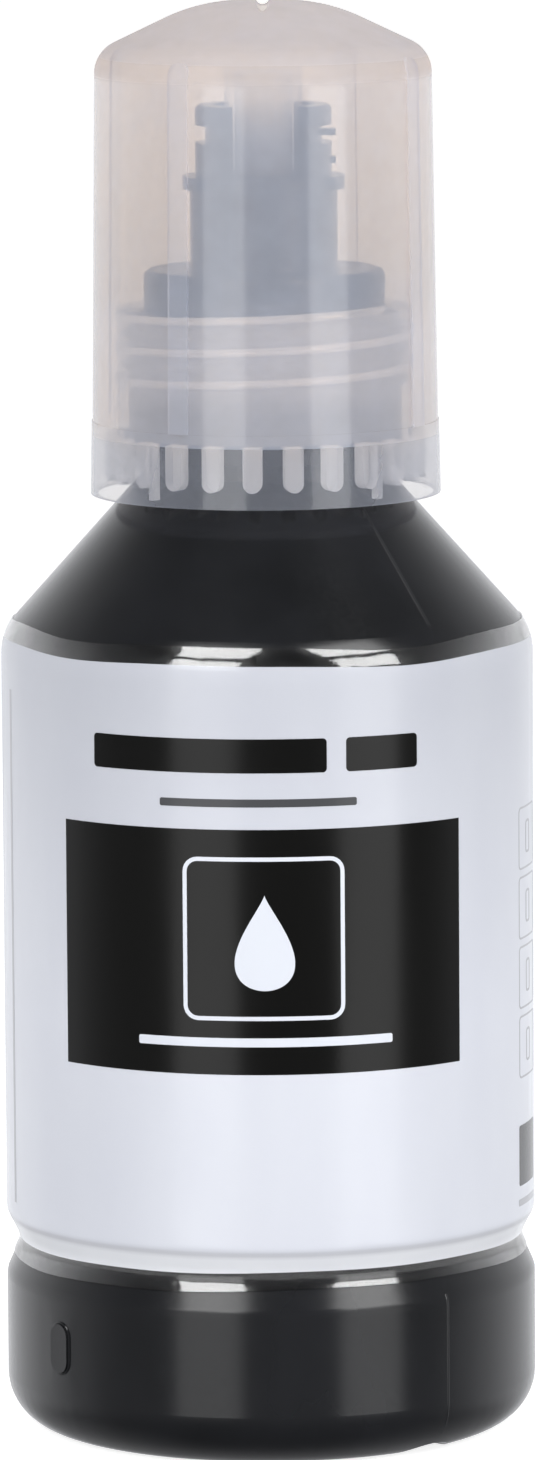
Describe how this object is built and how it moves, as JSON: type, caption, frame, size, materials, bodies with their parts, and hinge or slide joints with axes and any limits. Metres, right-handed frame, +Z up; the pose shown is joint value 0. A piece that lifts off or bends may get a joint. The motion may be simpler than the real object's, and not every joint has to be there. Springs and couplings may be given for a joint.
{
  "type": "ink refill bottle",
  "caption": "Round ink bottle with a groove above its foot, a printed sleeve, a conical shoulder and a domed translucent screw cap over a keyed nozzle.",
  "frame": {"origin": "centre of the foot, on the surface that the bottle stands on", "axes": "+Z up along the axis of the bottle, towards the cap; -Y is the front, where the label's panel is"},
  "size_m": [0.054, 0.054, 0.1452],
  "materials": {
    "bottle_plastic": "satin blow-moulded",
    "label_film": "printed gloss film",
    "ink": "liquid",
    "gasket_rubber": "matte",
    "nozzle_plastic": "satin moulded",
    "valve_silicone": "matte silicone",
    "retainer_plastic": "satin moulded",
    "cap_plastic": "translucent moulded"
  },
  "bodies": {
    "bottle_body": {"bottle": "bottle_plastic", "label_sleeve": "label_film", "ink": "ink", "neck_gasket": "gasket_rubber", "nozzle": "nozzle_plastic", "slit_valve": "valve_silicone", "valve_retainer": "retainer_plastic"},
    "cap": {"cap": "cap_plastic"}
  },
  "joints": [
    {"name": "cap_lift", "type": "slide", "parent": "bottle_body", "child": "cap", "axis": [0, 0, 1], "range_m": [0, 0.05]}
  ]
}
